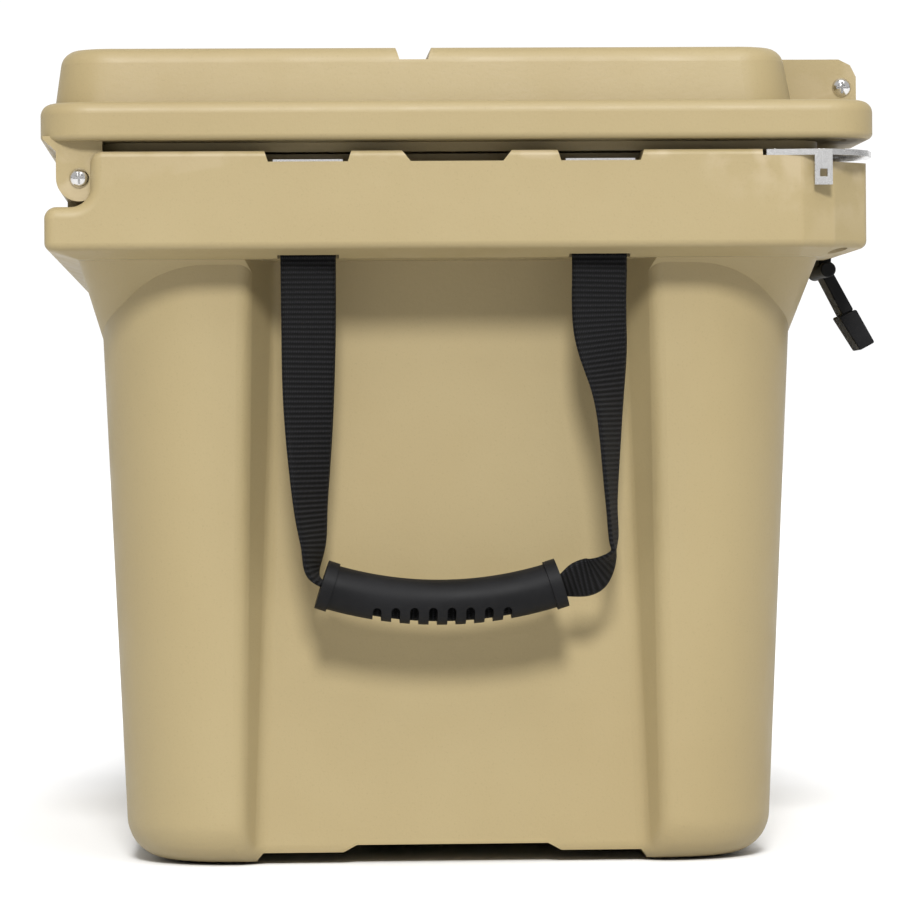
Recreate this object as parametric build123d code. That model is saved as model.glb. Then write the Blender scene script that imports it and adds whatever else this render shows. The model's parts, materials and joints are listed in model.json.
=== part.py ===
from build123d import *
import os
from math import radians, sin, cos

# Rotomoulded 45-quart cooler chest. Millimetres, +Z up, length along X, front (latches) at -Y,
# back (hinge) at +Y. The chest is drawn about the middle of its tub and shifted at the end,
# so that the origin is the middle of the bottom of its bounding box.

# Overall sizes
RIM_X = 327.0                 # half length of the body rim
LID_X = 330.0                 # half length of the lid rim
LID_FRONT, LID_BACK = 214.0, 206.5
BODY_TOP = 361.8              # top of the body rim
LID_UNDER = 362.6             # flat underside of the lid
LID_EDGE_Z = 367.3            # underside of the overhanging edge of the lid
LID_OVERHANG = 26.0
LID_RIM_TOP = 386.7
LID_TOP = 415.2
BLOCK_LID_TOP = 411.6         # top of the latch cheeks
FOOT_PROUD = 1.0              # how far a rubber foot stands below the moulded pad
LATCH_REACH = 225.0           # how far the pull of a closed latch stands out in front
Y_SHIFT = (LATCH_REACH - LID_BACK) / 2

# Lower body: half width at the bottom and where the flare under the rim begins
HALF_Y_BOTTOM, HALF_Y_FLARE = 166.3, 177.3
END_EXTRA = 120.0             # half length less half width of the lower body
FLARE_Z, RIM_UNDER_Z, RIM_FACE_Z = 262.0, 308.5, 313.2
PILLAR_R = 55.0               # plan radius of the corner pillars
COLLAR_Z, COLLAR_R = 268.0, 22.0
COLLAR_LOW, COLLAR_HIGH = (257.0, 177.2), (303.0, 189.0)
BASE_EDGE_R = 22.0

# Rim
CUT_BACK_Y = 181.3            # wall behind the hinge line
LEDGE_Y, LEDGE_TOP = 204.4, 334.4
FRONT_FACE_Y = -211.6         # face of the front blocks
BAND_FACE_Y = -199.0          # face of the front band between the latches
END_FACE_FRONT_Y = -176.0     # where the flat end face stops and the chamfer begins
CHAMFER_X, CHAMFER_Y = 319.0, -193.0     # where the corner turns more steeply to the front
BLOCK_X, BLOCK_INNER_X, BLOCK_TOP = 302.0, 150.0, 355.6
NOTCH_DEPTH = 5.5
RIM_FOAM_TOP = 349.0

# Tub
TUB_TOP, TUB_BOTTOM = (260.0, 138.0), (252.0, 130.0)
TUB_FLOOR, TUB_R = 52.0, 28.0
SKIN = 4.5

# End recess behind each handle
PANEL_X = 272.0
MOUTH_TOP, MOUTH_BOTTOM = 99.0, 111.5
PANEL_TOP, PANEL_BOTTOM = 88.0, 99.5
PAD_INNER = 100.0             # inner edge of the moulded pads under the pillars
PAD_RISE, MID_RISE, MID_HALF = 5.8, 9.6, 52.5

# Hinge
PIN_Y, PIN_Z, PIN_R, PIN_CLEAR = 186.8, 348.8, 4.0, 0.06
LUG_R, LUG_PLAY = 11.6, 1.2
LUG_OUT, LUG_IN, KNUCKLE_IN = 321.0, 291.0, 231.0

# Padlock holes through the lid corners and the corner plates
LOCK_X, LOCK_Y, LOCK_R = 306.0, -196.0, 5.0
PLATE_Z, PLATE_T, PLATE_SLIM = 358.5, 3.0, 1.3
SCREW_XS, SCREW_Y, SCREW_END_Z = (278.0, 314.0), -166.0, 351.0

# Latches
LATCH_X = 220.0
BOLT_Y, BOLT_Z, BOLT_R = -204.0, 397.0, 3.0
LID_SLOT, BODY_SLOT = 36.0, 32.0
CHEEK = 27.0                  # width of the lid block on each side of the latch
STRAP_T, STRAP_W, EYE_W, EYE_R = 6.4, 28.0, 34.0, 8.0
BAR_Y, BAR_Z, BAR_R, BAR_W = -198.6, 301.5, 6.4, 58.0
SLOT_BACK_Y, KEEPER_Z = -190.4, 309.2

# Handles
STRAP_YS = (-74.5, 72.5)
WEB_X, WEB_T, WEB_HALF = 311.0, 4.0, 14.0
PIVOT_Z = 304.0
GRIP_Y, GRIP_HALF, GRIP_SAG, GRIP_R = 6.4, 60.5, 9.6, 11.4
GRIP_END_Z, GRIP_END_R = 144.4, 12.6
RIB_PITCH, RIB_GAP, RIB_DEPTH = 9.4, 4.4, 9.0
CORE_R = 4.0

# Drain
DRAIN_Z = 74.0

SIDES = (("left", -1), ("right", 1))


def rounded_rect(half_x, half_y, radius, z):
    """A horizontal rounded rectangle about the Z axis."""
    return Pos(0, 0, z) * RectangleRounded(2 * half_x, 2 * half_y, radius)


def box_between(x0, x1, y0, y1, z0, z1):
    """A box given by its two corners."""
    centre = Pos((x0 + x1) / 2, (y0 + y1) / 2, (z0 + z1) / 2)
    return centre * Box(abs(x1 - x0), abs(y1 - y0), abs(z1 - z0))


def prism(points, z0, z1):
    """A vertical prism over an outline in plan."""
    return extrude(Pos(0, 0, z0) * make_face(Polyline(*points, close=True)), amount=z1 - z0)


def along_x(outline, x0, x1):
    """An outline of (y, z) points drawn out along X."""
    face = make_face(Polyline(*[(x0, y, z) for y, z in outline], close=True))
    return extrude(face, amount=x1 - x0, dir=(1, 0, 0))


def rod_x(x0, x1, y, z, radius):
    """A round bar along X."""
    return Pos((x0 + x1) / 2, y, z) * Rot(0, 90, 0) * Cylinder(radius, abs(x1 - x0))


def pillars():
    """Drafted walls with large corner pillars, carried up into the rim."""
    draft = (HALF_Y_FLARE - HALF_Y_BOTTOM) / (FLARE_Z - FOOT_PROUD)
    top_z = RIM_UNDER_Z + 2
    half_y = HALF_Y_BOTTOM + draft * (top_z - FOOT_PROUD)
    bottom = rounded_rect(HALF_Y_BOTTOM + END_EXTRA, HALF_Y_BOTTOM, PILLAR_R, FOOT_PROUD)
    top = rounded_rect(half_y + END_EXTRA, half_y, PILLAR_R, top_z)
    walls = loft([bottom, top], ruled=True)
    return fillet(walls.edges().group_by(Axis.Z)[0], BASE_EDGE_R)


def collar():
    """The flare under the rim, which comes out of the pillars in an arch."""
    low = rounded_rect(*COLLAR_LOW, COLLAR_R, COLLAR_Z)
    high = rounded_rect(*COLLAR_HIGH, COLLAR_R, RIM_UNDER_Z + 1)
    return loft([low, high], ruled=True) - end_recess(-1) - end_recess(1)


def end_recess(side):
    """The hollow between the pillars of one end, where the handle hangs."""
    outer_x = RIM_X + 5
    bottom_z, top_z = -1.0, RIM_UNDER_Z
    sections = []
    for z, mouth, panel in ((bottom_z, MOUTH_BOTTOM, PANEL_BOTTOM), (top_z, MOUTH_TOP, PANEL_TOP)):
        slope = (mouth - panel) / 15.0
        wide = mouth + slope * 30
        points = [(side * PANEL_X, -panel), (side * outer_x, -wide), (side * outer_x, wide)]
        points.append((side * PANEL_X, panel))
        sections.append(Pos(0, 0, z) * make_face(Polyline(*points, close=True)))
    return loft(sections, ruled=True)


def soft_recess_edges(shell):
    """Round the inner corners of the end recesses, then the edges of their mouths."""
    def beside_recess(edge):
        return edge.length > 100 and 80 < abs(edge.center().Y) < 118 and abs(edge.center().X) > 200
    inner = [e for e in shell.edges().filter_by(beside_recess) if abs(e.center().X) < PANEL_X + 5]
    shell = fillet(inner, 8.0)
    mouth = [e for e in shell.edges().filter_by(beside_recess) if abs(e.center().X) > PANEL_X + 12]
    return fillet(mouth, 9.0)


def base_channels():
    """The raised underside between the pillars, with a deeper middle channel."""
    length = 2 * RIM_X
    profile = [(-PAD_INNER, -2), (-PAD_INNER, 2), (-PAD_INNER + 3, PAD_RISE)]
    profile += [(-MID_HALF - 3.4, PAD_RISE), (-MID_HALF + 3.4, MID_RISE)]
    profile += [(-y, z) for y, z in reversed(profile)]
    lengthwise = along_x(profile, -length / 2, length / 2)
    crosswise = box_between(-190, 190, -240, 240, -2, PAD_RISE)
    return lengthwise + crosswise


def rim_face(z, inset=0.0, radius=5.5):
    """Plan of the rim below the hinge cut-out, with chamfered and rounded front corners."""
    end, block = RIM_X - inset, BLOCK_X - inset
    back, front = LEDGE_Y - inset, FRONT_FACE_Y + inset
    half = [(end, back), (end, END_FACE_FRONT_Y), (CHAMFER_X - inset, CHAMFER_Y + 0.3 * inset)]
    half += [(block, front), (BLOCK_INNER_X, front), (BLOCK_INNER_X - 8, BAND_FACE_Y + inset)]
    points = half + [(-x, y) for x, y in reversed(half)]
    face = Pos(0, 0, z) * make_face(Polyline(*points, close=True))
    corners = [v for v in face.vertices() if abs(v.X) > BLOCK_X - 20]
    return fillet(corners, radius)


def rim():
    """The thick rim around the top of the body, with its hinge cut-out and lower front blocks."""
    ring = extrude(rim_face(RIM_FACE_Z), amount=BODY_TOP - RIM_FACE_Z)
    ring = fillet(ring.edges().group_by(Axis.Z)[-1], 3.0)
    ring += loft([rim_face(RIM_UNDER_Z, 16.0, 1.5), rim_face(RIM_FACE_Z)], ruled=True)
    low = [e for e in ring.edges() if abs(e.center().Z - RIM_FACE_Z) < 0.3]
    ring = fillet(low, 4.0) - hinge_cut()
    ledge = [e for e in ring.edges().filter_by(Axis.X) if e.center().Y > CUT_BACK_Y + 9]
    ring = fillet([e for e in ledge if abs(e.center().Z - LEDGE_TOP) < 0.3], 6.0)
    for _, side in SIDES:
        ring -= box_between(side * (RIM_X + 1), side * (BLOCK_INNER_X - 20), CHAMFER_Y + 1.5, -240,
                            BLOCK_TOP, 400)
    return ring


def hinge_cut():
    """The space behind the rim for the hinge, with a rounded inner corner above the ledge."""
    cut = box_between(-RIM_X - 1, RIM_X + 1, CUT_BACK_Y, 240, LEDGE_TOP, 400)
    inner = cut.edges().filter_by(Axis.X).sort_by(Axis.Z)[:2].sort_by(Axis.Y)[0]
    return fillet(inner, 10.0)


def lug_pockets():
    """Room in the rim for the lid lugs to turn in."""
    shape = Part()
    for _, side in SIDES:
        x0, x1 = side * (LUG_IN - LUG_PLAY), side * (LUG_OUT + LUG_PLAY)
        reach = LUG_R + LUG_PLAY
        shape += rod_x(x0, x1, PIN_Y, PIN_Z, reach)
        shape += box_between(x0, x1, PIN_Y - reach, PIN_Y + 3, PIN_Z, 400)
    return shape


def knuckles():
    """Hinge knuckles of the body, one beside each lid lug."""
    shape = Part()
    for _, side in SIDES:
        x0, x1 = side * KNUCKLE_IN, side * (LUG_IN - LUG_PLAY)
        shape += rod_x(x0, x1, PIN_Y, PIN_Z, LUG_R)
        shape += box_between(x0, x1, CUT_BACK_Y - 1, PIN_Y, PIN_Z - 8, PIN_Z + LUG_R)
        shape += box_between(x0, x1, CUT_BACK_Y - 1, PIN_Y + 7, LEDGE_TOP - 1, PIN_Z)
    return shape


def tub():
    """The inside of the chest."""
    floor = rounded_rect(*TUB_BOTTOM, TUB_R, TUB_FLOOR)
    mouth = rounded_rect(*TUB_TOP, TUB_R, BODY_TOP + 1)
    hollow = loft([floor, mouth], ruled=True)
    hollow = fillet(hollow.edges().group_by(Axis.Z)[0], 14.0)
    return hollow + rod_x(220, TUB_BOTTOM[0], 0, DRAIN_Z, 20.0)


def foam_cavity():
    """The sealed space between the outer wall and the tub, filled with foam."""
    wall_x = PANEL_X - SKIN
    low = rounded_rect(wall_x, HALF_Y_BOTTOM - SKIN - 2, 24, 20)
    high = rounded_rect(wall_x, HALF_Y_FLARE - SKIN - 1, 24, 290)
    outer = loft([low, high], ruled=True)
    outer += extrude(Pos(0, -7, 0) * rounded_rect(wall_x - 1.5, 174, 24, 280), amount=RIM_FOAM_TOP - 281)
    outer += extrude(Pos(0, -7, 0) * rounded_rect(WEB_X - 11, 175, 24, RIM_UNDER_Z + SKIN),
                     amount=RIM_FOAM_TOP - RIM_UNDER_Z - SKIN)
    around_drain = box_between(240, 300, -24, 24, DRAIN_Z - 24, DRAIN_Z + 24)
    return outer - liner_block() - around_drain


def liner_block():
    """The tub and its wall as one block, up to the underside of the solid rim."""
    low = rounded_rect(TUB_BOTTOM[0] + SKIN, TUB_BOTTOM[1] + SKIN, TUB_R, TUB_FLOOR - SKIN)
    high = rounded_rect(TUB_TOP[0] + SKIN, TUB_TOP[1] + SKIN, TUB_R, BODY_TOP)
    return loft([low, high], ruled=True) - box_between(-400, 400, -300, 300, RIM_FOAM_TOP, 400)


def tub_liner():
    """The inner wall and floor of the chest."""
    return liner_block() - (tub() + drain_hole())


def rim_notches():
    """Shallow notches in the top of each end rim, and the webbing slots below two of them."""
    z0, z1 = BODY_TOP - NOTCH_DEPTH, BODY_TOP + 2
    x0, x1 = RIM_X - 30, RIM_X + 2
    shape = Part()
    for _, side in SIDES:
        for y in STRAP_YS:
            outline = [(y - 20, z0), (y + 20, z0), (y + 22.5, z1), (y - 22.5, z1)]
            shape += along_x(outline, side * x0, side * x1)
            shape += box_between(side * (WEB_X - 5), side * (WEB_X + 5), y - 15.5, y + 15.5, 290, z1)
        outline = [(-25.5, z0), (21, z0), (27, z1), (-31.5, z1)]
        shape += along_x(outline, side * x0, side * x1)
    return shape


def latch_slots():
    """The gap between the two keeper horns of each latch."""
    shape = Part()
    for _, side in SIDES:
        x0, x1 = side * LATCH_X - BODY_SLOT / 2, side * LATCH_X + BODY_SLOT / 2
        shape += box_between(x0, x1, SLOT_BACK_Y, -240, 290, 400)
        half = BAR_W / 2 + 4
        shape += box_between(side * LATCH_X - half, side * LATCH_X + half, SLOT_BACK_Y, -240, 280, KEEPER_Z)
    return shape


def lock_plate_recess():
    """Shallow seats in the rim top for the corner plates, and the gap in front of each corner."""
    shape = Part()
    for _, side in SIDES:
        shape += box_between(side * 268, side * 340, -156, -230, PLATE_Z, BODY_TOP + 8)
    return shape


def drain_hole():
    """Round hole through the wall above the tub floor."""
    return rod_x(230, 300, 0, DRAIN_Z, 14.0)


def foot_places():
    """Centres of the four rubber feet."""
    return [("front_left", -236, -126), ("front_right", 236, -126),
            ("back_left", -236, 126), ("back_right", 236, 126)]


def body_shell():
    """The outer wall of the chest body with its rim."""
    shell = soft_recess_edges(pillars() - end_recess(-1) - end_recess(1))
    shell += collar()
    shell += rim() - lug_pockets()
    shell += knuckles()
    shell -= base_channels()
    shell -= tub()
    shell -= foam_cavity()
    shell -= liner_block()
    shell -= rim_notches()
    shell -= latch_slots()
    shell -= lock_plate_recess()
    shell -= drain_hole()
    for _, side in SIDES:
        shell -= rod_x(side * (KNUCKLE_IN + 6), side * (LUG_IN + 1), PIN_Y, PIN_Z, PIN_R)
        shell -= lock_plate_screws(side)
        shell -= Pos(side * LOCK_X, LOCK_Y, BODY_TOP - 30) * Cylinder(LOCK_R, 80)
    for _, x, y in foot_places():
        shell -= Pos(x, y, FOOT_PROUD + 1.5) * Cylinder(16, 3)
    return shell


def foot(x, y):
    """A rubber foot let into the underside of a pillar."""
    return Pos(x, y, 2.0) * Cylinder(16, 4)


def hinge_pin(side):
    """A steel pin with a domed, cross-slotted head outside the lid lug."""
    x_in, x_out = side * (KNUCKLE_IN + 6), side * LUG_OUT
    pin = rod_x(x_in, x_out + side * 0.3, PIN_Y, PIN_Z, PIN_R)
    return pin + screw_head(side, x_out + side * 0.3, PIN_Y, PIN_Z, 5.0, 3.2)


def screw_head(side, x, y, z, radius, height):
    """A domed head that faces away from the chest, with a cross slot."""
    base, tip, rim_point = (0, 0), (height, 0), (0, radius)
    shoulder = (height * 0.75, radius * 0.56)
    outline = Polyline(tip, base, rim_point) + ThreePointArc(rim_point, shoulder, tip)
    dome = revolve(make_face(outline), axis=Axis.X)
    dome -= box_between(height - 1.4, height + 1, -3, 3, -0.6, 0.6)
    dome -= box_between(height - 1.4, height + 1, -0.6, 0.6, -3, 3)
    turn = 0 if side > 0 else 180
    return Pos(x, y, z) * Rot(0, 0, turn) * dome


def lock_plate(side):
    """A flat corner plate with a padlock hole, an opener nose and a folded tooth."""
    front = -LID_FRONT - 0.3
    outline = [(270, -158), (326, -158), (328.5, -181), (328.5, -191), (322, -203), (313, front + 3.5)]
    outline.append((300, front))
    outline += [(282, front), (270, front + 9)]
    plate = prism([(side * x, y) for x, y in outline], PLATE_Z, PLATE_Z + PLATE_T)
    plate -= Pos(side * LOCK_X, LOCK_Y, PLATE_Z) * Cylinder(LOCK_R, 10)
    tooth = box_between(side * 325.7, side * 328.5, -182, -191, PLATE_Z - 15, PLATE_Z + 1)
    tooth -= box_between(side * 320, side * 330, -184.6, -188.4, PLATE_Z - 11, PLATE_Z - 7)
    return plate + tooth - lock_plate_screws(side)


def lock_plate_screws(side):
    """Two countersunk screws that hold a corner plate down."""
    shape = Part()
    top_z = PLATE_Z + PLATE_T
    for x in SCREW_XS:
        length = top_z - 2 - SCREW_END_Z
        shank = Pos(side * x, SCREW_Y, SCREW_END_Z + length / 2) * Cylinder(2.2, length)
        head = Pos(side * x, SCREW_Y, top_z - 1.4) * Cone(2.2, 4.4, 2.6)
        shape += shank + head
    return shape


def anchor_plates(side):
    """Two slotted steel plates on the rim that the handle webbing hangs from."""
    z0 = BODY_TOP - NOTCH_DEPTH
    shape = Part()
    for y in STRAP_YS:
        x0, x1 = side * (WEB_X - 12), side * (WEB_X + 12)
        plate = box_between(x0, x1, y - 17.5, y + 17.5, z0, z0 + PLATE_SLIM)
        slot = box_between(side * (WEB_X - 3), side * (WEB_X + 3), y - 14.6, y + 14.6, z0 - 1, z0 + 3)
        shape += plate - slot
    return shape


def webbing_ends(side):
    """The folded ends of the webbing, from the anchor plates down through the rim."""
    z0, low = BODY_TOP - NOTCH_DEPTH + PLATE_SLIM, PIVOT_Z + WEB_T / 2 + 0.4
    y_half, x_half = WEB_HALF, WEB_T / 2
    shape = Part()
    for y in STRAP_YS:
        head = box_between(side * (WEB_X - 8), side * (WEB_X + 8), y - y_half, y + y_half, z0, z0 + 2.4)
        stem = box_between(side * (WEB_X - x_half), side * (WEB_X + x_half), y - y_half, y + y_half, low, z0)
        shape += head + stem
    return shape


def grip_path(side):
    """Centre line of the sagging hand grip."""
    ends = [(side * WEB_X, GRIP_Y + k * GRIP_HALF, GRIP_END_Z) for k in (-1, 1)]
    middle = (side * WEB_X, GRIP_Y, GRIP_END_Z - GRIP_SAG)
    return ThreePointArc(ends[0], middle, ends[1])


def handle_strap(side):
    """Two hanging straps, round at the pivot, and the webbing core that runs through the grip."""
    path = grip_path(side)
    shape = sweep(Plane(path @ 0, z_dir=path % 0) * Circle(CORE_R), path=path)
    front_y, back_y = STRAP_YS
    back = [(back_y - WEB_HALF, PIVOT_Z), (back_y + WEB_HALF, PIVOT_Z), (80, 167), (79, 151), (72, 139),
            (65.8, 141), (65.8, 155), (65, 167)]
    front = [(front_y + WEB_HALF, PIVOT_Z), (-76, 165.5), (-69, 157.5), (-55.5, 157.5), (-53, 150),
             (-53, 138), (-67, 139), (-80, 147), (-84, 158), (front_y - WEB_HALF, PIVOT_Z)]
    for y, outline in ((back_y, back), (front_y, front)):
        shape += along_x(outline, side * WEB_X - WEB_T / 2, side * WEB_X + WEB_T / 2)
        shape += Pos(side * WEB_X, y, PIVOT_Z) * Rot(90, 0, 0) * Cylinder(WEB_T / 2, 2 * WEB_HALF)
    return shape - handle_grip(side)


def handle_grip(side):
    """Moulded grip around the core, with full ends and arched gaps between the finger ribs."""
    path = grip_path(side)
    frame = Plane(path @ 0, z_dir=path % 0)
    grip = sweep(frame * Circle(GRIP_R), path=path)
    for end in (0, 1):
        collar_frame = Plane(path @ end, z_dir=path % end)
        grip += collar_frame * Pos(0, 0, 3 - 6 * end) * Cylinder(GRIP_END_R, 6)
    grip -= sweep(frame * Circle(CORE_R), path=path)
    for i in range(8):
        y = GRIP_Y + (i - 3.5) * RIB_PITCH
        z = GRIP_END_Z - GRIP_SAG - GRIP_R
        top = z + RIB_DEPTH - RIB_GAP / 2
        x0, x1 = side * WEB_X - 20, side * WEB_X + 20
        grip -= box_between(x0, x1, y - RIB_GAP / 2, y + RIB_GAP / 2, z - 8, top)
        grip -= rod_x(x0, x1, y, top, RIB_GAP / 2)
    return grip


def lid_rim():
    """The wide rim of the lid with its bevelled underside."""
    middle_y = (LID_BACK - LID_FRONT) / 2
    half_y = (LID_BACK + LID_FRONT) / 2
    edge = Pos(0, middle_y, 0) * rounded_rect(LID_X, half_y, 24, LID_EDGE_Z)
    plate = extrude(edge, amount=LID_RIM_TOP - LID_EDGE_Z)
    plate = fillet(plate.edges().group_by(Axis.Z)[-1], 6.0)
    plate = fillet(plate.edges().group_by(Axis.Z)[0], 3.0)
    seat = rounded_rect(LID_X - LID_OVERHANG, half_y - LID_OVERHANG, 16, LID_UNDER)
    return plate + Pos(0, middle_y, 0) * extrude(seat, amount=LID_EDGE_Z - LID_UNDER + 2)


def lid_dome():
    """The raised top of the lid, set back from the rim."""
    y0, y1 = -175.5, 200.0
    middle_y, half_y = (y0 + y1) / 2, (y1 - y0) / 2
    low = Pos(0, middle_y, 0) * rounded_rect(313, half_y, 26, LID_RIM_TOP - 2)
    high = Pos(0, middle_y + 0.7, 0) * rounded_rect(309, half_y - 5, 24, LID_TOP)
    dome = loft([low, high], ruled=True)
    return fillet(dome.edges().group_by(Axis.Z)[-1], 9.0)


def latch_blocks():
    """Cheeks on the front of the lid that carry the latch bolts."""
    half = LID_SLOT / 2 + CHEEK
    face, base, top = -211.5, LID_RIM_TOP - 2, BLOCK_LID_TOP
    outline = [(-160, base), (face, base), (face, top - 9), (face + 3, top - 3), (face + 9, top)]
    outline.append((-160, top))
    shape = Part()
    for _, side in SIDES:
        shape += along_x(outline, side * LATCH_X - half, side * LATCH_X + half)
    return shape


def lid_lugs():
    """Hinge lugs that hang from the back corners of the lid."""
    shape = Part()
    for _, side in SIDES:
        shape += rod_x(side * LUG_OUT, side * LUG_IN, PIN_Y, PIN_Z, LUG_R)
        shape += box_between(side * LUG_OUT, side * LUG_IN, PIN_Y - LUG_R, PIN_Y + LUG_R, PIN_Z, 370)
        back = PIN_Y + LUG_R
        edge = LID_BACK - 1.5
        gusset = [(back - 1, 361.4), (back, 362.4), (edge, 368.5), (edge, 370), (back - 1, 370)]
        shape += along_x(gusset, side * LUG_OUT, side * LUG_IN)
    return shape


def lid_plug():
    """The part of the lid that enters the tub."""
    low = rounded_rect(254, 132, 24, LID_UNDER - 18)
    high = rounded_rect(256, 134, 24, LID_UNDER + 1)
    plug = loft([low, high], ruled=True)
    return fillet(plug.edges().group_by(Axis.Z)[0], 5.0)


def gasket_ring(z0, z1, play=0.0):
    """The gasket loop around the tub mouth, or its groove when play is given."""
    outer = extrude(rounded_rect(279 + play, 157 + play, 34, z0), amount=z1 - z0)
    return outer - extrude(rounded_rect(270 - play, 148 - play, 26, z0), amount=z1 - z0)


def lid_groove():
    """The shallow straight groove along the top of the lid."""
    y = 18.5
    z0, z1 = LID_TOP - 6.5, LID_TOP + 1
    outline = [(y - 7.2, z0), (y + 7.2, z0), (y + 9.4, z1), (y - 9.4, z1)]
    return along_x(outline, -340, 340)


def lid_cavity():
    """The sealed foam space in the lid."""
    plug = extrude(rounded_rect(248, 126, 20, LID_UNDER - 13), amount=24)
    return plug + extrude(Pos(0, 13, 0) * rounded_rect(300, 174, 24, LID_UNDER + 10), amount=30)


def lid_shell():
    """The moulded double wall of the lid."""
    shell = lid_rim() + lid_dome() + latch_blocks() + lid_lugs() + lid_plug()
    shell -= lid_groove()
    shell -= gasket_ring(LID_UNDER - 1, LID_UNDER + 4.7)
    shell -= lid_cavity()
    for _, side in SIDES:
        x0, x1 = side * LATCH_X - LID_SLOT / 2, side * LATCH_X + LID_SLOT / 2
        shell -= box_between(x0, x1, BOLT_Y + EYE_R + 4, -230, 350, 420)
        half = LID_SLOT / 2 + CHEEK
        shell -= rod_x(side * LATCH_X - half - 1, side * LATCH_X + half + 1, BOLT_Y, BOLT_Z, BOLT_R)
        shell -= rod_x(side * (LUG_OUT + 1), side * (LUG_IN - 1), PIN_Y, PIN_Z, PIN_R + PIN_CLEAR)
        shell -= Pos(side * LOCK_X, LOCK_Y, 370) * Cylinder(LOCK_R, 60)
    return shell


def latch_bolt(side):
    """The bolt that a latch swings on, with its domed head towards the end."""
    half = LID_SLOT / 2 + CHEEK
    x_head, x_tip = side * (LATCH_X + half), side * (LATCH_X - half - 5)
    bolt = rod_x(x_tip, x_head, BOLT_Y, BOLT_Z, BOLT_R)
    return bolt + screw_head(side, x_head, BOLT_Y, BOLT_Z, 5.0, 3.2)


def latch_nut(side):
    """The nut on the inner end of a latch bolt."""
    x = side * (LATCH_X - LID_SLOT / 2 - CHEEK)
    hexagon = Pos(x, BOLT_Y, BOLT_Z) * Rot(0, -90 * side, 0) * extrude(RegularPolygon(5.8, 6), amount=4.5)
    return hexagon - rod_x(x - 10, x + 10, BOLT_Y, BOLT_Z, BOLT_R)


def latch_strap(side):
    """A rubber latch: eye on the bolt, strap, cross bar under the keeper, and pull."""
    x = side * LATCH_X
    y_in, y_out = BAR_Y + STRAP_T / 2, BAR_Y - STRAP_T / 2
    lean = BOLT_Y - BAR_Y
    strap = along_x([(y_in + lean, BOLT_Z), (y_out + lean, BOLT_Z), (y_out, BAR_Z), (y_in, BAR_Z)],
                    x - STRAP_W / 2, x + STRAP_W / 2)
    eye = rod_x(x - EYE_W / 2, x + EYE_W / 2, BOLT_Y, BOLT_Z, EYE_R)
    bar = rod_x(x - BAR_W / 2, x + BAR_W / 2, BAR_Y, BAR_Z, BAR_R)
    arm = along_x([(-194.3, 299.2), (-207.5, 279.4), (-214.0, 283.2), (-201.9, 301.8)], x - 14, x + 14)
    outline = [(-204.1, 278.6), (-216.0, 261.6), (-LATCH_REACH, 266.0), (-214.9, 283.4)]
    pull = along_x(outline, x - 16, x + 16)
    latch = strap + eye + bar + arm + pull
    return latch - rod_x(x - EYE_W, x + EYE_W, BOLT_Y, BOLT_Z, BOLT_R + 0.1)


def drain_fitting():
    """Threaded tube through the wall with its outer flange."""
    tube = rod_x(240, PANEL_X, 0, DRAIN_Z, 14.0)
    flange = rod_x(PANEL_X, PANEL_X + 4, 0, DRAIN_Z, 21.0)
    return tube + flange - rod_x(230, 290, 0, DRAIN_Z, 9.0)


def drain_inner_nut():
    """Ring nut of the drain inside the tub."""
    ring = rod_x(243.5, 251.5, 0, DRAIN_Z, 19.0)
    return ring - rod_x(240, 260, 0, DRAIN_Z, 14.0)


def drain_seal_ring():
    """Rubber ring that the drain cap presses on the flange."""
    ring = rod_x(PANEL_X + 4.1, PANEL_X + 6.1, 0, DRAIN_Z, 15.0)
    return ring - rod_x(PANEL_X, PANEL_X + 10, 0, DRAIN_Z, 9.2)


def drain_plug():
    """Screw-in drain plug with a ribbed knob."""
    shank = rod_x(PANEL_X - 12, PANEL_X + 6.3, 0, DRAIN_Z, 8.7)
    knob = rod_x(PANEL_X + 6.3, PANEL_X + 17, 0, DRAIN_Z, 18.0)
    grips = Part()
    for i in range(8):
        angle = radians(i * 45)
        grips += rod_x(PANEL_X + 8, PANEL_X + 20, 18.5 * cos(angle), DRAIN_Z + 18.5 * sin(angle), 3.4)
    return shank + knob - grips


def save(name, shape):
    """Write one node, moved so that the chest stands on the middle of its box."""
    solids = [Pos(0, Y_SHIFT, 0) * solid for solid in shape.solids()]
    whole = solids[0] if len(solids) == 1 else Compound(solids)
    export_step(whole, os.path.join("parts", name + ".step"))


def main():
    os.makedirs("parts", exist_ok=True)
    save("body_shell", body_shell())
    save("tub_liner", tub_liner())
    save("body_foam", foam_cavity())
    save("lid_shell", lid_shell())
    save("lid_foam", lid_cavity())
    save("lid_gasket", gasket_ring(LID_UNDER - 0.6, LID_UNDER + 4.7))
    for name, x, y in foot_places():
        save("foot_" + name, foot(x, y))
    for name, side in SIDES:
        save("hinge_pin_" + name, hinge_pin(side))
        save("lock_plate_" + name, lock_plate(side))
        save("lock_plate_screws_" + name, lock_plate_screws(side))
        save("handle_anchor_plates_" + name, anchor_plates(side))
        save("handle_webbing_ends_" + name, webbing_ends(side))
        save("handle_strap_" + name, handle_strap(side))
        save("handle_grip_" + name, handle_grip(side))
        save("latch_bolt_" + name, latch_bolt(side))
        save("latch_nut_" + name, latch_nut(side))
        save("latch_strap_" + name, latch_strap(side))
    save("drain_fitting", drain_fitting())
    save("drain_inner_nut", drain_inner_nut())
    save("drain_seal_ring", drain_seal_ring())
    save("drain_plug", drain_plug())


main()
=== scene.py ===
import json
from math import cos, pi, radians, sin

import bmesh
import bpy
from mathutils import Matrix, Vector


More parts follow.
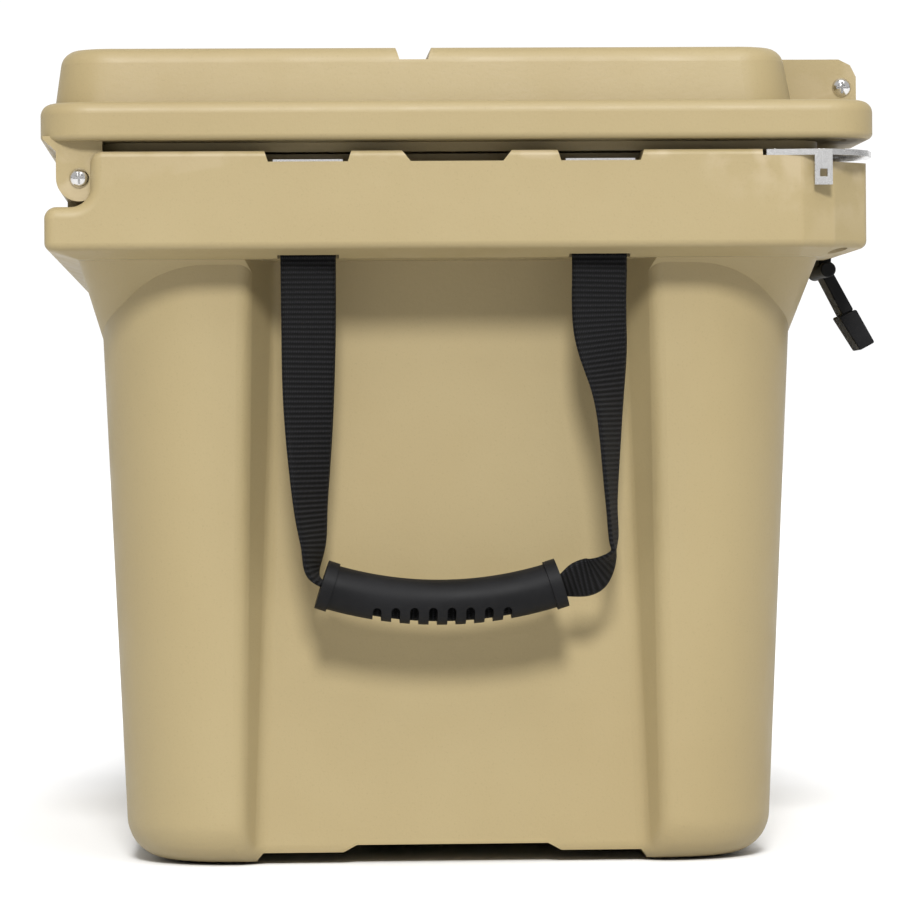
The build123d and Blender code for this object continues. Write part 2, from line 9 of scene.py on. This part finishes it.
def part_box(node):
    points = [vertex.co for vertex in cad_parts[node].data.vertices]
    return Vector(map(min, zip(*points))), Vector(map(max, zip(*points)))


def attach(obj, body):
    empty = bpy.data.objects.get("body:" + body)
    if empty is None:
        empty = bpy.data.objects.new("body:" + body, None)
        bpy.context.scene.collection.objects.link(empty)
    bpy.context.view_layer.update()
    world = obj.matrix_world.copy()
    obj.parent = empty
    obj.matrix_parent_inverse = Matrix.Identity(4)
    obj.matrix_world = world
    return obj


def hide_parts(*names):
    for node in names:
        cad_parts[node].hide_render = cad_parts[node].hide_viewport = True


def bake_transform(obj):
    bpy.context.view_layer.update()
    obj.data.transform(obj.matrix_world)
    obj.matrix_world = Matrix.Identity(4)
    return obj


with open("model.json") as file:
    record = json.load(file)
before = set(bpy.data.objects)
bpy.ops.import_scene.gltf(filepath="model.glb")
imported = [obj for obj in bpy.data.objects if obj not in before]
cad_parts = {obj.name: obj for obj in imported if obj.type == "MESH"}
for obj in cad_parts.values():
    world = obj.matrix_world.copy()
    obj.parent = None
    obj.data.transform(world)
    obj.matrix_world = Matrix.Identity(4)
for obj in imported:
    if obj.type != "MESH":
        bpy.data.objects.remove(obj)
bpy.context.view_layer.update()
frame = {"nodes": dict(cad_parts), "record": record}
NODES = frame["nodes"]
MM = 0.001
WEBBING_HALF = 14 * MM
WEBBING_T = 2.4 * MM
GRIP_R, GRIP_SAG, GRIP_REACH = 11.4 * MM, 9.6 * MM, 60.5 * MM
# Latches, in millimetres: distance from the middle, then the (y, z) of the bolt and of the cross bar.
LATCH_X, BOLT, BAR = 220, (-194.75, 397), (-189.35, 303.9)
EYE_R, BAR_R, STRAP_HALF_T = 8, 4, 3.2
SIDES = (("left", -1), ("right", 1))
LID_END_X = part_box("lid_shell")[0][0]


# Camera -------------------------------------------------------------------------------------------

def add_camera():
    """A long lens, square to the left end but a little towards the hinge side."""
    yaw, roll = radians(2.6), radians(0.42)
    distance, height, aside, focal = 2.300, 0.2115, 0.0118, 184.0
    forward = Vector((cos(yaw), -sin(yaw), 0))
    right = Vector((-sin(yaw), -cos(yaw), 0))
    up = Vector((0, 0, 1))
    end_middle = Vector((LID_END_X, aside, height))
    data = bpy.data.cameras.new("camera")
    data.lens = focal
    data.sensor_width = 36.0
    data.clip_end = 50
    camera = bpy.data.objects.new("camera", data)
    bpy.context.scene.collection.objects.link(camera)
    tilted_right = right * cos(roll) - up * sin(roll)
    tilted_up = up * cos(roll) + right * sin(roll)
    turn = Matrix((tilted_right, tilted_up, -forward)).transposed().to_4x4()
    camera.matrix_world = Matrix.Translation(end_middle - forward * distance) @ turn
    bpy.context.scene.camera = camera


# Materials ----------------------------------------------------------------------------------------

class Nodes:
    """Short names for building a node material."""

    def __init__(self, name):
        self.material = bpy.data.materials.new(name)
        self.material.use_nodes = True
        self.tree = self.material.node_tree
        self.shader = self.tree.nodes["Principled BSDF"]
        self.place = self.add("ShaderNodeTexCoord").outputs["Object"]

    def add(self, kind, **settings):
        node = self.tree.nodes.new(kind)
        for key, value in settings.items():
            setattr(node, key, value)
        return node

    def link(self, source, target):
        self.tree.links.new(source, target)

    def noise(self, scale, detail=3.0, rough=0.5, stretch=None):
        """Noise over the object's own coordinates, stretched by a scale for each axis if given."""
        node = self.add("ShaderNodeTexNoise")
        node.inputs["Scale"].default_value = scale
        node.inputs["Detail"].default_value = detail
        node.inputs["Roughness"].default_value = rough
        source = self.place
        if stretch:
            mapping = self.add("ShaderNodeMapping")
            mapping.inputs["Scale"].default_value = stretch
            self.link(source, mapping.inputs["Vector"])
            source = mapping.outputs["Vector"]
        self.link(source, node.inputs["Vector"])
        return node.outputs["Fac"]

    def ramp(self, value, *stops):
        """A colour ramp with (position, colour) stops."""
        node = self.add("ShaderNodeValToRGB")
        elements = node.color_ramp.elements
        while len(elements) < len(stops):
            elements.new(0.5)
        for element, (position, colour) in zip(elements, stops):
            element.position = position
            element.color = (*colour, 1)
        self.link(value, node.inputs["Fac"])
        return node.outputs["Color"]

    def mix(self, factor, a, b, blend="MIX"):
        """A colour mix of two sockets or colours."""
        node = self.add("ShaderNodeMix", data_type="RGBA", blend_type=blend)
        for value, socket in ((factor, node.inputs[0]), (a, node.inputs[6]), (b, node.inputs[7])):
            if isinstance(value, (int, float)):
                socket.default_value = value
            elif isinstance(value, tuple):
                socket.default_value = (*value, 1)
            else:
                self.link(value, socket)
        return node.outputs[2]

    def remap(self, value, low, high, new_low, new_high):
        node = self.add("ShaderNodeMapRange")
        for socket, number in zip(list(node.inputs)[1:5], (low, high, new_low, new_high)):
            socket.default_value = number
        self.link(value, node.inputs[0])
        return node.outputs[0]

    def math(self, kind, a, b=0.0):
        node = self.add("ShaderNodeMath", operation=kind)
        for value, socket in ((a, node.inputs[0]), (b, node.inputs[1])):
            if isinstance(value, (int, float)):
                socket.default_value = value
            else:
                self.link(value, socket)
        return node.outputs[0]

    def bump(self, height, distance, strength=1.0, below=None):
        node = self.add("ShaderNodeBump")
        node.inputs["Strength"].default_value = strength
        node.inputs["Distance"].default_value = distance
        self.link(height, node.inputs["Height"])
        if below is not None:
            self.link(below, node.inputs["Normal"])
        return node.outputs["Normal"]

    def finish(self, colour=None, roughness=None, normal=None, **constants):
        """Connect the shader and set its plain values."""
        for value, name in ((colour, "Base Color"), (roughness, "Roughness"), (normal, "Normal")):
            if value is None:
                continue
            if isinstance(value, tuple):
                self.shader.inputs[name].default_value = (*value, 1)
            elif isinstance(value, (int, float)):
                self.shader.inputs[name].default_value = value
            else:
                self.link(value, self.shader.inputs[name])
        for name, value in constants.items():
            self.shader.inputs[name.replace("_", " ")].default_value = value
        return self.material


def moulded_tan():
    """Rotomoulded polyethylene: tan, satin, with a fine pebble grain and faint cloudy patches."""
    n = Nodes("moulded_tan")
    cloud = n.noise(5.0, 4.0, 0.55)
    speck = n.noise(900.0, 2.0, 0.6)
    tan_light, tan_deep = (0.294, 0.235, 0.122), (0.277, 0.217, 0.109)
    colour = n.mix(n.remap(cloud, 0.35, 0.65, 0.0, 1.0), tan_deep, tan_light)
    colour = n.mix(n.remap(speck, 0.58, 0.72, 0.0, 0.18), colour, (0.18, 0.140, 0.073))
    worn = n.add("ShaderNodeNewGeometry").outputs["Pointiness"]
    edges = n.remap(worn, 0.52, 0.60, 0.0, 1.0)
    scuff = n.math("MULTIPLY", edges, n.remap(n.noise(60.0), 0.45, 0.6, 0.0, 0.5))
    colour = n.mix(scuff, colour, (0.38, 0.31, 0.20))
    pebble = n.bump(n.noise(420.0, 3.0, 0.6), 0.00018, 0.5)
    ripple = n.bump(n.noise(28.0, 2.0, 0.5), 0.0012, 0.12, below=pebble)
    rough = n.remap(n.noise(40.0, 4.0), 0.3, 0.7, 0.44, 0.56)
    return n.finish(colour, rough, ripple, Specular_IOR_Level=0.30)


def black_rubber():
    """Satin black rubber with a faint dusty bloom and a very fine grain."""
    n = Nodes("black_rubber")
    bloom = n.noise(35.0, 5.0, 0.6)
    colour = n.mix(n.remap(bloom, 0.4, 0.7, 0.0, 1.0), (0.0050, 0.0050, 0.0055), (0.009, 0.009, 0.0098))
    grain = n.bump(n.noise(1500.0, 2.0, 0.6), 0.00008, 0.5)
    rough = n.remap(bloom, 0.3, 0.7, 0.50, 0.62)
    return n.finish(colour, rough, grain, Specular_IOR_Level=0.12)


def seal_rubber():
    """Matt black sealing rubber."""
    n = Nodes("seal_rubber")
    colour = n.ramp(n.noise(80.0, 3.0), (0.3, (0.008, 0.008, 0.0085)), (0.7, (0.014, 0.014, 0.015)))
    grain = n.bump(n.noise(900.0, 2.0), 0.0001, 0.4)
    return n.finish(colour, 0.62, grain)


def ribbed_webbing():
    """Black nylon webbing: cross ribs with fine lengthwise threads, from the strap's own UVs, coloured
    with painted highlights on the crests and painted shade in the grooves.
    """
    n = Nodes("ribbed_webbing")
    place = n.add("ShaderNodeUVMap", uv_map="strap").outputs["UV"]
    split = n.add("ShaderNodeSeparateXYZ")
    n.link(place, split.inputs[0])
    across, along = split.outputs[0], split.outputs[1]
    rib = n.math("SINE", n.math("MULTIPLY", along, 2 * pi / (2.5 * MM)))
    rib = n.remap(rib, -1.0, 1.0, 0.0, 1.0)
    thread = n.math("SINE", n.math("MULTIPLY", across, 2 * pi / (0.9 * MM)))
    thread = n.remap(thread, -1.0, 1.0, 0.0, 1.0)
    weave = n.math("MULTIPLY", rib, n.math("ADD", n.math("MULTIPLY", thread, 0.5), 0.5))
    fuzz = n.noise(1400.0, 3.0, 0.7)
    # Colour from the weave: lighter on rib and thread crests as a painted highlight, darker in the
    # grooves as painted shade; the fuzz adds random fibre tone.
    painted_crest_light_and_fuzz = n.math("ADD", n.math("MULTIPLY", weave, 0.75), n.math("MULTIPLY", fuzz, 0.35))
    colour = n.ramp(painted_crest_light_and_fuzz, (0.15, (0.002, 0.002, 0.002)), (0.62, (0.0065, 0.0065, 0.0070)),
                    (0.95, (0.020, 0.020, 0.022)))
    relief = n.bump(n.math("ADD", weave, n.math("MULTIPLY", fuzz, 0.25)), 0.0005, 0.9)
    return n.finish(colour, 0.72, relief, Specular_IOR_Level=0.10, Sheen_Weight=0.02,
                    Sheen_Roughness=0.4)


def polished_steel():
    """Polished stainless steel with fine hairlines and smudges."""
    n = Nodes("polished_steel")
    smudge = n.noise(120.0, 4.0, 0.6)
    colour = n.mix(n.remap(smudge, 0.4, 0.7, 0.0, 1.0), (0.74, 0.73, 0.72), (0.62, 0.61, 0.60))
    hairline = n.bump(n.noise(300.0, 2.0, 0.5, stretch=(1, 12, 12)), 0.00004, 0.5)
    rough = n.remap(smudge, 0.3, 0.7, 0.10, 0.24)
    return n.finish(colour, rough, hairline, Metallic=1.0)


def brushed_plate():
    """Stamped stainless plate, brushed along its length."""
    n = Nodes("brushed_plate")
    streak = n.noise(260.0, 3.0, 0.6, stretch=(1, 18, 18))
    colour = n.mix(streak, (0.66, 0.655, 0.65), (0.55, 0.545, 0.54))
    relief = n.bump(streak, 0.00005, 0.6)
    rough = n.remap(streak, 0.3, 0.7, 0.20, 0.34)
    return n.finish(colour, rough, relief, Metallic=1.0)


def black_plastic():
    """Black moulded plastic with a light texture."""
    n = Nodes("black_plastic")
    colour = n.ramp(n.noise(60.0, 4.0), (0.3, (0.007, 0.007, 0.0075)), (0.7, (0.013, 0.013, 0.0135)))
    grain = n.bump(n.noise(700.0, 2.0, 0.6), 0.0001, 0.5)
    return n.finish(colour, 0.45, grain, Specular_IOR_Level=0.32)


def cream_foam():
    """Cut polyurethane foam."""
    n = Nodes("cream_foam")
    cells = n.noise(500.0, 4.0, 0.7)
    colour = n.ramp(cells, (0.3, (0.62, 0.53, 0.33)), (0.7, (0.80, 0.72, 0.50)))
    return n.finish(colour, 0.9, n.bump(cells, 0.0004, 0.8))


def paint_frame(looks):
    """Give every CAD node the material of its record slot."""
    slots = {s["node"]: s["material_slot"] for s in frame["record"]["subparts"]}
    for name, obj in NODES.items():
        material = looks[slots[name]]
        if not obj.material_slots:
            obj.data.materials.append(material)
        for holder in obj.material_slots:
            holder.material = material


# Softened edges ------------------------------------------------------------------------------------

def soften(obj, width, segments=3, angle=28.0):
    """Round the sharp edges of a piece that keeps its shape."""
    weld = obj.modifiers.new("weld", "WELD")
    weld.merge_threshold = 0.00001
    bevel = obj.modifiers.new("bevel", "BEVEL")
    bevel.width = width
    bevel.segments = segments
    bevel.limit_method = "ANGLE"
    bevel.angle_limit = radians(angle)
    bevel.miter_outer = "MITER_ARC"
    bevel.harden_normals = False
    normals = obj.modifiers.new("normals", "WEIGHTED_NORMAL")
    normals.keep_sharp = False


# Webbing ------------------------------------------------------------------------------------------

def smooth_between(stations, steps):
    """Catmull-Rom through given stations of (centre, width direction, half width)."""
    rows = []
    count = len(stations)
    for i in range(count - 1):
        four = [stations[max(0, min(count - 1, j))] for j in (i - 1, i, i + 1, i + 2)]
        for k in range(steps + (i == count - 2)):
            t = k / steps
            row = []
            for part in range(3):
                a, b, c, d = (s[part] for s in four)
                row.append(0.5 * ((b * 2) + (c - a) * t + (a * 2 - b * 5 + c * 4 - d) * t * t
                                  + (b * 3 - a - c * 3 + d) * t * t * t))
            rows.append(row)
    return rows


def ribbon(name, stations, thickness, steps=10, across=14):
    """A woven strap: a thin band with rounded edges that follows the stations."""
    rows = smooth_between(stations, steps)
    mesh = bpy.data.meshes.new(name)
    form = bmesh.new()
    layer = form.loops.layers.uv.new("strap")
    rings, lengths = [], []
    length = 0.0
    for i, (centre, wide, half) in enumerate(rows):
        ahead = rows[min(i + 1, len(rows) - 1)][0] - rows[max(i - 1, 0)][0]
        if i:
            length += (centre - rows[i - 1][0]).length
        wide = (wide - ahead.normalized() * wide.dot(ahead.normalized())).normalized()
        out = ahead.normalized().cross(wide)
        ring = []
        for side, order in ((1, range(across + 1)), (-1, range(across, -1, -1))):
            for j in order:
                u = -1 + 2 * j / across
                edge = (1 - abs(u) ** 8) * 0.5 + 0.5 * (abs(u) < 1)
                point = centre + wide * (half * u) + out * (side * thickness * 0.5 * edge)
                ring.append((form.verts.new(point), u * half))
        rings.append(ring)
        lengths.append(length)
    for i in range(len(rings) - 1):
        size = len(rings[i])
        for j in range(size):
            k = (j + 1) % size
            corners = [(rings[i][j], lengths[i]), (rings[i][k], lengths[i]),
                       (rings[i + 1][k], lengths[i + 1]), (rings[i + 1][j], lengths[i + 1])]
            face = form.faces.new([c[0][0] for c in corners])
            face.smooth = True
            for loop, (vertex, along) in zip(face.loops, corners):
                loop[layer].uv = (vertex[1], along)
    for ring in (rings[0], rings[-1]):
        form.faces.new([v for v, _ in ring])
    bmesh.ops.remove_doubles(form, verts=form.verts, dist=0.000005)
    bmesh.ops.recalc_face_normals(form, faces=form.faces)
    form.to_mesh(mesh)
    form.free()
    obj = bpy.data.objects.new(name, mesh)
    bpy.context.scene.collection.objects.link(obj)
    return obj


def facing(angle, out):
    """Width direction of a strap turned by an angle from lengthwise along Y towards the outside."""
    return Vector((out * sin(radians(angle)), cos(radians(angle)), 0))


def handle_webbing(side_name, side, material):
    """The webbing of one handle, from both anchor plates down to the grip."""
    low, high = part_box("handle_webbing_ends_" + side_name)
    grip_low, grip_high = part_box("handle_grip_" + side_name)
    x = (low[0] + high[0]) / 2
    half = WEBBING_HALF
    plate_top, exit_z = high[2], low[2] - 2.4 * MM
    end_z = grip_high[2] - 12 * MM
    up = Vector((0, 0, 1))
    depth = Vector((side, 0, 0))
    for label in ("back", "front"):
        y = high[1] - half if label == "back" else low[1] + half
        top = [(Vector((x, y, plate_top - 3 * MM)), facing(0, side), half),
               (Vector((x, y, exit_z + 25 * MM)), facing(0, side), half),
               (Vector((x, y, exit_z)), facing(4, side), half),
               (Vector((x, y, exit_z - 30 * MM)), facing(10, side), half)]
        if label == "back":
            drop = [(Vector((x, y + 0.3 * MM, exit_z - 68 * MM)), facing(23, side), half),
                    (Vector((x, y - 0.2 * MM, exit_z - 116 * MM)), facing(47, side), 13.6 * MM),
                    (Vector((x, y - 1.5 * MM, exit_z - 138 * MM)), facing(58, side), 13 * MM),
                    (Vector((x, grip_high[1] + 0.5 * MM, end_z + 6 * MM)), facing(72, side), 11 * MM),
                    (Vector((x, grip_high[1] - 6 * MM, end_z - 1 * MM)), facing(84, side), 9 * MM),
                    (Vector((x, grip_high[1] - 16 * MM, end_z - 4 * MM)), facing(88, side), 8 * MM)]
        else:
            drop = [(Vector((x, y - 4.3 * MM, exit_z - 68 * MM)), facing(53, side), half),
                    (Vector((x, y - 5.2 * MM, exit_z - 116 * MM)), facing(74, side), 13.6 * MM),
                    (Vector((x, y - 6.2 * MM, exit_z - 138 * MM)), facing(78, side), 13 * MM),
                    (Vector((x, y - 5.2 * MM, end_z + 13 * MM)), depth + up * 0.55, 12.4 * MM),
                    (Vector((x, grip_low[1] - 14 * MM, end_z + 4.5 * MM)), up + depth * 0.75, 12 * MM),
                    (Vector((x, grip_low[1] - 4 * MM, end_z + 1 * MM)), up + depth * 0.55, 10.5 * MM),
                    (Vector((x, grip_low[1] + 6 * MM, end_z - 2.5 * MM)), up * 0.8 + depth, 8.5 * MM),
                    (Vector((x, grip_low[1] + 14 * MM, end_z - 4 * MM)), up * 0.5 + depth, 8 * MM)]
        piece = ribbon("webbing_" + label + "_" + side_name, top + drop, WEBBING_T)
        piece.data.materials.append(material)
        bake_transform(piece)
    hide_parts("handle_webbing_ends_" + side_name, "handle_strap_" + side_name)


def grip_core(side_name, material):
    """The webbing inside the grip, which shows between the grip's ribs."""
    low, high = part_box("handle_grip_" + side_name)
    x, y = (low[0] + high[0]) / 2, (low[1] + high[1]) / 2
    axis_z = low[2] + GRIP_R
    stations = []
    for part in (-0.72, -0.48, -0.24, 0, 0.24, 0.48, 0.72):
        place = Vector((x, y + GRIP_REACH * part, axis_z - 2.2 * MM + GRIP_SAG * part * part))
        stations.append((place, Vector((0, 0, 1)), 7.4 * MM))
    piece = ribbon("webbing_core_" + side_name, stations, 3 * MM, 4)
    piece.data.materials.append(material)
    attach(piece, "handle_" + side_name)


# Latches ------------------------------------------------------------------------------------------

def prism(form, outline, middle, half):
    """Add a closed bar along X, with an outline of (y, z) points in millimetres."""
    ends = []
    for x in (middle - half, middle + half):
        ends.append([form.verts.new((x * MM, y * MM, z * MM)) for y, z in outline])
    count = len(outline)
    form.faces.new(ends[0])
    form.faces.new(reversed(ends[1]))
    for i in range(count):
        j = (i + 1) % count
        form.faces.new((ends[0][j], ends[0][i], ends[1][i], ends[1][j]))


def circle(y, z, radius, count=40):
    """Points round a circle."""
    turns = [2 * pi * i / count for i in range(count)]
    return [(y + radius * cos(turn), z + radius * sin(turn)) for turn in turns]


def latch(side_name, side, material):
    """A rubber latch: eye on the bolt, strap, slim cross bar under the keeper, arm and pull."""
    x = side * LATCH_X
    form = bmesh.new()
    prism(form, circle(*BOLT, EYE_R), x, 17)
    prism(form, [(BOLT[0] + STRAP_HALF_T, BOLT[1]), (BOLT[0] - STRAP_HALF_T, BOLT[1]),
                 (BAR[0] - STRAP_HALF_T, BAR[1]), (BAR[0] + STRAP_HALF_T, BAR[1])], x, 14)
    prism(form, circle(*BAR, BAR_R), x, 29)
    prism(form, [(-186.4, 304.5), (-198.9, 280.2), (-204.7, 283.4), (-192.4, 306.0)], x, 12)
    prism(form, [(-196.6, 279.6), (-207.7, 262.0), (-215.5, 266.2), (-205.9, 283.6)], x, 13.5)
    bmesh.ops.recalc_face_normals(form, faces=form.faces)
    mesh = bpy.data.meshes.new("latch_visual_" + side_name)
    form.to_mesh(mesh)
    form.free()
    piece = bpy.data.objects.new("latch_visual_" + side_name, mesh)
    bpy.context.scene.collection.objects.link(piece)
    mesh.materials.append(material)
    soften(piece, 0.9 * MM)
    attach(piece, "latch_" + side_name)
    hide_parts("latch_strap_" + side_name)


# Setting ------------------------------------------------------------------------------------------

def add_sun(name, bearing, elevation, strength, softness):
    """A soft sun; bearing 0 shines from the camera's side, 90 from the front of the chest."""
    data = bpy.data.lights.new(name, "SUN")
    data.energy = strength
    data.angle = radians(softness)
    lamp = bpy.data.objects.new(name, data)
    flat = cos(radians(elevation))
    turn = radians(bearing)
    place = Vector((-flat * cos(turn), -flat * sin(turn), sin(radians(elevation))))
    lamp.location = place * 3
    lamp.rotation_euler = (-place).to_track_quat("-Z", "Y").to_euler()
    bpy.context.scene.collection.objects.link(lamp)


def add_backdrop():
    """Surroundings that are white behind the chest and dimmer on the other sides."""
    world = bpy.data.worlds.new("studio")
    bpy.context.scene.world = world
    world.use_nodes = True
    tree = world.node_tree
    split = tree.nodes.new("ShaderNodeSeparateXYZ")
    tree.links.new(tree.nodes.new("ShaderNodeTexCoord").outputs["Generated"], split.inputs[0])
    level = tree.nodes.new("ShaderNodeMapRange")
    for socket, number in zip(list(level.inputs)[1:5], (0.3, 0.9, 0.30, 1.05)):
        socket.default_value = number
    tree.links.new(split.outputs[0], level.inputs[0])
    background = tree.nodes["Background"]
    background.inputs["Color"].default_value = (1, 1, 1, 1)
    tree.links.new(level.outputs[0], background.inputs["Strength"])


def add_setting():
    """Pale floor, backdrop and soft studio lights, the main one from above the camera."""
    bpy.ops.mesh.primitive_circle_add(vertices=96, radius=40, fill_type="NGON", location=(0, 0, -0.0002))
    floor = bpy.context.object
    floor.name = "floor"
    n = Nodes("floor_paper")
    floor.data.materials.append(n.finish((0.80, 0.80, 0.80), 0.85, n.bump(n.noise(40.0), 0.0003, 0.1)))
    add_backdrop()
    add_sun("main", -2, 36, 3.7, 12)
    add_sun("top", 10, 68, 1.5, 45)
    add_sun("front_fill", 75, 35, 0.25, 60)
    add_sun("back_fill", -75, 35, 0.25, 60)
    bpy.context.scene.view_settings.view_transform = "Standard"


add_camera()
LOOKS = {
    "tan_plastic": moulded_tan(),
    "foam": cream_foam(),
    "black_rubber": black_rubber(),
    "gasket_rubber": seal_rubber(),
    "webbing": ribbed_webbing(),
    "polished_steel": polished_steel(),
    "brushed_plate": brushed_plate(),
    "black_plastic": black_plastic(),
}
paint_frame(LOOKS)
for side_name, side in SIDES:
    soften(NODES["lock_plate_" + side_name], 0.5 * MM)
    soften(NODES["handle_grip_" + side_name], 0.9 * MM, 2, 40.0)
    handle_webbing(side_name, side, LOOKS["webbing"])
    grip_core(side_name, LOOKS["webbing"])
    latch(side_name, side, LOOKS["black_rubber"])
add_setting()
